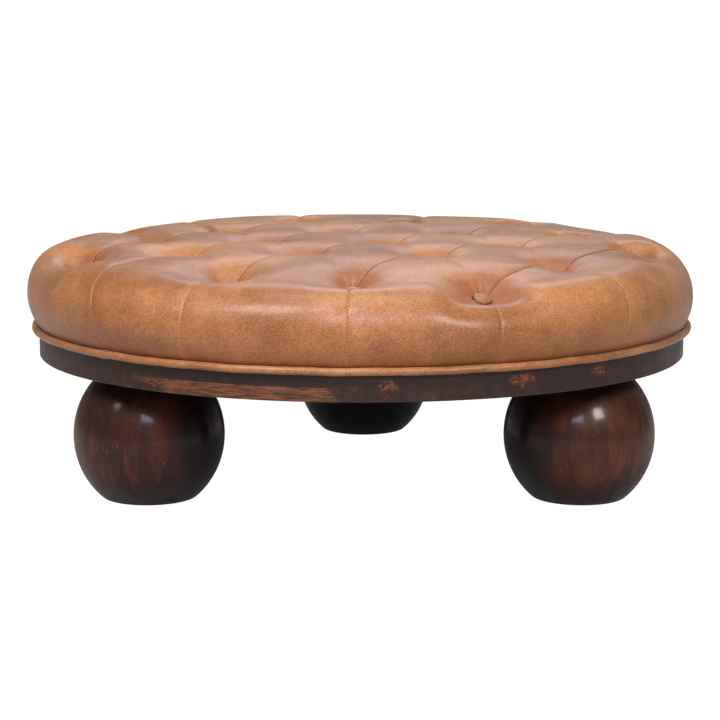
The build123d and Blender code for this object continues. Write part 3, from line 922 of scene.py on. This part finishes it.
def waxed_thread():
    """Waxed polyester thread with a faint twist."""
    material, tree, shader = new_material("waxed_polyester_thread", **{"IOR": 1.5})
    place = add_node(tree, "ShaderNodeTexCoord").outputs["Object"]
    twist = pattern(tree, place, 0.7143 * MM, 1.0)
    share = {0: twist, 6: linear("#6d4024"), 7: linear("#94613a")}
    colour = add_node(tree, "ShaderNodeMix", share, data_type="RGBA").outputs[2]
    dress_shader(tree, shader, colour, twist, 0.45, 0.65, start=0.2, end=0.8)
    return material


thread_material = waxed_thread()
print("thread", thread_material.name)

# %% [markdown]
# The stitches that close the seams over the edge show as short threads lying in the groove. They
# repeat along each seam, so a tree resamples the seam lines by the stitch length and lays one small
# capsule on each point, turned along the line.

# %% Stitches on the edge seams
first_stitch, last_stitch, seam_samples = 0.09, 0.985, 90
thread_lift = 0.1 * MM
seam_points, seam_edges = [], []
for start, end in edge_lines:
    shares = np.linspace(first_stitch, last_stitch, seam_samples)[:, None]
    first = len(seam_points)
    seam_points += skin(start + (end - start) * shares, lift=thread_lift)[0].tolist()
    seam_edges += [(first + i, first + i + 1) for i in range(seam_samples - 1)]
seam_mesh = bpy.data.meshes.new("seam_lines")
seam_mesh.from_pydata(seam_points, seam_edges, [])
stitch_sizes = {"Stitch": stitch_length, "Thread": 0.7 * MM, "Visible": 2.6 * MM}
tree, sizes = new_tree("stitches_along_seams", stitch_sizes)
track = add_node(tree, "GeometryNodeMeshToCurve", {"Mesh": sizes.outputs["Geometry"]})
marks = add_node(
    tree,
    "GeometryNodeResampleCurve",
    {"Curve": track.outputs[0], "Length": sizes.outputs["Stitch"]},
    mode="LENGTH",
)
thread = add_node(tree, "GeometryNodeMeshUVSphere", {"Segments": 6, "Rings": 5, "Radius": 1.0})
halves = [
    add_node(tree, "ShaderNodeMath", {0: sizes.outputs[k], 1: 0.5}, operation="MULTIPLY").outputs[0]
    for k in ("Thread", "Visible")
]
capsule_size = add_node(
    tree, "ShaderNodeCombineXYZ", {"X": halves[0], "Y": halves[0], "Z": halves[1]}
)
capsule = add_node(
    tree,
    "GeometryNodeTransform",
    {"Geometry": thread.outputs["Mesh"], "Scale": capsule_size.outputs[0]},
)
tangent = add_node(tree, "GeometryNodeInputTangent")
along = add_node(
    tree, "FunctionNodeAlignRotationToVector", {"Vector": tangent.outputs[0]}, axis="Z"
)
laid = add_node(
    tree,
    "GeometryNodeInstanceOnPoints",
    {"Points": marks.outputs[0], "Instance": capsule.outputs[0], "Rotation": along.outputs[0]},
)
end_tree(tree, laid.outputs[0], thread_material)
stitches = grow("seam_stitches", seam_mesh, tree, stitch_sizes)
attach(stitches, "root")

# %% [markdown]
# The base is two layers of boards in mango wood, stained walnut and lacquered satin. The upper
# layer shows long grain at the front; the lower one runs front to back, so its front rim shows end
# grain. One stretch of it, left of the middle, took less stain and shows tan, and a few small knots
# glow reddish in the front rim. Each board is its own shade, by its number across the base.

# %% Stained boards
board_width = 99.0 * MM
thirsty_middle, thirsty_reach = 142.0 * MM, 108.0 * MM
wander_width = 60.0 * MM
# knots in the front rim: place across, height and size
knots = [
    (-264 * MM, 188 * MM, 14 * MM),
    (30 * MM, 195 * MM, 11 * MM),
    (198 * MM, 195 * MM, 14 * MM),
    (296 * MM, 194 * MM, 10 * MM),
]


def wandering(tree, uneven):
    """A distance that an uneven pattern shifts to both sides, to break up a straight edge."""
    shift = {0: uneven, 1: wander_width, 2: -wander_width / 2}
    return add_node(tree, "ShaderNodeMath", shift, operation="MULTIPLY_ADD").outputs[0]


def knotted(tree, colour, place, front, wander):
    """Small ragged knots, broken up by fibres."""
    fibres = pattern(tree, place, 4.762 * MM, 4.0, 0.7, (1, 1, 1.6))
    torn = add_node(
        tree,
        "ShaderNodeMapRange",
        {"Value": fibres, "From Min": 0.42, "From Max": 0.6},
        interpolation_type="SMOOTHSTEP",
    ).outputs[0]
    ragged = add_node(tree, "ShaderNodeMath", {0: torn, 1: front}, operation="MULTIPLY").outputs[0]
    for knot_x, knot_z, size in knots:
        aside = {0: place, 1: (knot_x, 0, knot_z)}
        off = add_node(tree, "ShaderNodeVectorMath", aside, operation="SUBTRACT").outputs[0]
        span = add_node(tree, "ShaderNodeVectorMath", {0: off}, operation="ABSOLUTE").outputs[0]
        # wider than high: a step across counts for less than a step up
        flat_span = {0: span, 1: (0.6, 0, 1)}
        reach = add_node(tree, "ShaderNodeVectorMath", flat_span, operation="DOT_PRODUCT")
        blur = {0: wander, 1: 0.9, 2: reach.outputs["Value"]}
        gap = add_node(tree, "ShaderNodeMath", blur, operation="MULTIPLY_ADD").outputs[0]
        knot = linear("#884a2a")
        colour = dyed(tree, colour, knot, gap, 0.2 * size, size, 1.0, 0.0, only=ragged)
    return colour


def stained_boards(name, grain_axis, dark, light, glow_share):
    """Walnut-stained mango wood: long grain along one axis, blotched end grain across it."""
    material, tree, shader = new_material(
        name,
        **{
            "IOR": 1.5,
            "Specular IOR Level": 0.4,
            "Coat Weight": 0.14,
            "Coat Roughness": 0.3,
            "Coat IOR": 1.45,
        },
    )
    place = add_node(tree, "ShaderNodeTexCoord").outputs["Object"]
    parts = add_node(tree, "ShaderNodeSeparateXYZ", {0: place}).outputs
    long_way = (2.0, 60.0, 60.0) if grain_axis == "X" else (60.0, 2.0, 60.0)
    grain = pattern(tree, place, 333.33 * MM, 5.0, 0.6, long_way)
    figure = pattern(tree, place, 71.43 * MM, 4.0, 0.6)
    blotch = pattern(tree, place, 26.32 * MM, 5.0, 0.7)
    pores = pattern(tree, place, 1.429 * MM, 1.0, 0.6)
    # each board's own shade, from its number across the base
    across = {0: parts["Y" if grain_axis == "X" else "X"], 1: board_width}
    number = add_node(tree, "ShaderNodeMath", across, operation="DIVIDE").outputs[0]
    board = add_node(tree, "ShaderNodeMath", {0: number}, operation="ROUND").outputs[0]
    luck = add_node(tree, "ShaderNodeTexWhiteNoise", {"W": board}, noise_dimensions="1D")
    shade = {0: luck.outputs["Value"], 1: 0.45}
    darker = add_node(tree, "ShaderNodeMath", shade, operation="MULTIPLY").outputs[0]
    colour = dyed(tree, linear(dark), linear(light), grain, 0.3, 0.7)
    shaded = {0: darker, 6: colour, 7: linear(dark)}
    colour = add_node(tree, "ShaderNodeMix", shaded, data_type="RGBA").outputs[2]
    colour = dyed(tree, colour, linear("#2b1a16"), figure, 0.42, 0.62, 0.0, 0.5)
    wander = wandering(tree, blotch)
    front = add_node(tree, "ShaderNodeMath", {0: parts["Y"], 1: 0.0}, operation="LESS_THAN").outputs[0]
    if grain_axis == "Y":
        # the stretch that took less stain, in streaks 25 mm long and 2.4 mm high
        streaks = pattern(tree, place, 1.0, 5.0, 0.65, (40, 40, 420))
        tan = dyed(tree, linear("#42281b"), linear("#7e4e31"), streaks, 0.4, 0.6)
        moved = add_node(tree, "ShaderNodeMath", {0: parts["X"], 1: wander}, operation="ADD").outputs[0]
        side = add_node(tree, "ShaderNodeMath", {0: moved, 1: thirsty_middle}, operation="ADD")
        off = add_node(tree, "ShaderNodeMath", {0: side.outputs[0]}, operation="ABSOLUTE").outputs[0]
        inner, outer = thirsty_reach - 12 * MM, thirsty_reach + 8 * MM
        colour = dyed(tree, colour, tan, off, inner, outer, 0.9, 0.0, only=front)
    colour = knotted(tree, colour, place, front, wander)
    colour = dyed(tree, colour, linear("#7a4228"), blotch, 0.56, 0.72, 0.0, glow_share)
    colour = dyed(tree, colour, linear("#1d1210"), pores, 0.6, 0.75, 0.0, 0.4)
    dress_shader(tree, shader, colour, blotch, 0.32, 0.48)
    relieve(tree, shader, grain, 0.2 * MM, 0.35)
    return material


upper_wood = stained_boards("walnut_stained_mango_long_grain", "X", "#1c1210", "#33201a", 0.25)
lower_wood = stained_boards("walnut_stained_mango_end_grain", "Y", "#221512", "#40271e", 0.5)
dress_nodes("upper_board", upper_wood)
dress_nodes("lower_board", lower_wood)

# %% [markdown]
# The feet are turned from solid blocks, stained nearly black and polished with gloss lacquer. The
# stain runs down the grain in reddish streaks. Painted shade darkens them at the top under the base,
# towards the floor and on the sides that face each other. The clear coat gives small sharp
# highlights over a dark depth, which is why the coat is kept smoother than the stain under it.

# %% Lacquered balls


def lacquered_ball():
    """Dark walnut stain under polished lacquer: reddish upright streaks in near black."""
    material, tree, shader = new_material(
        "gloss_lacquered_walnut_stain",
        **{
            "IOR": 1.5,
            "Specular IOR Level": 0.2,
            "Coat Weight": 0.4,
            "Coat Roughness": 0.16,
            "Coat IOR": 1.5,
        },
    )
    place = add_node(tree, "ShaderNodeTexCoord").outputs["Object"]
    streaks = pattern(tree, place, 16.67 * MM, 4.0, 0.6, (1, 1, 0.16))
    broad = pattern(tree, place, 76.92 * MM, 3.0, 0.5, (1, 1, 0.5))
    flecks = pattern(tree, place, 3.125 * MM, 2.0, 0.6, (1, 1, 0.3))
    colour = dyed(tree, linear("#361a13"), linear("#572c1d"), broad, 0.4, 0.62)
    colour = dyed(tree, colour, linear("#1c1211"), streaks, 0.48, 0.66, 0.0, 0.4)
    colour = dyed(tree, colour, linear("#733f26"), streaks, 0.34, 0.5, 0.3, 0.0)
    colour = dyed(tree, colour, linear("#94582f"), flecks, 0.6, 0.74, 0.0, 0.3)
    parts = add_node(tree, "ShaderNodeSeparateXYZ", {0: place}).outputs
    out = add_node(tree, "ShaderNodeMath", {0: parts["X"]}, operation="ABSOLUTE").outputs[0]
    shift = {0: out, 1: wandering(tree, broad)}
    aside = add_node(tree, "ShaderNodeMath", shift, operation="ADD").outputs[0]
    # painted shade: darker on the sides that face each other, at the top under the base and towards the
    # floor
    painted_shade_tone = linear("#0d0b0c")
    colour = dyed(tree, colour, painted_shade_tone, aside, 222 * MM, 268 * MM, 0.92, 0.0)
    colour = dyed(tree, colour, painted_shade_tone, parts["Z"], 110 * MM, 170 * MM, 0.0, 0.7)
    colour = dyed(tree, colour, painted_shade_tone, parts["Z"], 10 * MM, 55 * MM, 0.75, 0.0)
    dress_shader(tree, shader, colour, streaks, 0.35, 0.5)
    return material


dress_nodes("ball_foot", lacquered_ball())

# %% [markdown]
# What is inside is dressed too, because a part may be shown taken apart: raw plywood and foam,
# cotton cord, waxed twine, zinc-plated steel and pressed felt. Each is a short material of two
# tones, with its pattern at the real size of ply, cells, fibres or plating.

# %% Hidden pieces


def two_tone(name, first, second, size, stretch=(1, 1, 1), **surface):
    """A simple uneven finish of two tones, whose pattern also roughens the surface."""
    material, tree, shader = new_material(name, **surface)
    place = add_node(tree, "ShaderNodeTexCoord").outputs["Object"]
    uneven = pattern(tree, place, size, 4.0, 0.6, stretch)
    colour = dyed(tree, linear(first), linear(second), uneven, 0.35, 0.65)
    tree.links.new(colour, shader.inputs["Base Color"])
    relieve(tree, shader, uneven, 0.1 * MM)
    return material


felt = two_tone("pressed_wool_felt", "#2a211c", "#40352d", 1.111 * MM, Roughness=0.95)
foam = two_tone("open_cell_foam", "#e3dcc0", "#f0ead2", 1.429 * MM, Roughness=0.95)
cord = two_tone("braided_cotton_cord", "#d8d0bf", "#ece6d8", 1.667 * MM, Roughness=0.9)
twine = two_tone("waxed_nylon_twine", "#cfc8b4", "#e2dccb", 0.8333 * MM, Roughness=0.5)
# the plies: long across the board and about 2 mm thick
plies = (0.1, 1, 12)
plywood = two_tone("raw_birch_plywood", "#c9a878", "#dcc193", 25 * MM, plies, Roughness=0.7)
steel = two_tone(
    "zinc_plated_steel", "#a9adb2", "#c4c8cc", 4.545 * MM, Metallic=1.0, Roughness=0.32
)
raw_finishes = {
    "felt_pad": felt, "seat_board": plywood, "foam_core": foam, "piping_cord": cord,
    "button_twines": twine, "hanger_bolts": steel, "tee_nuts": steel, "seat_screws": steel,
    "cover_staples": steel, "twine_washers": steel,
}
for start, finish in raw_finishes.items():
    dress_nodes(start, finish)
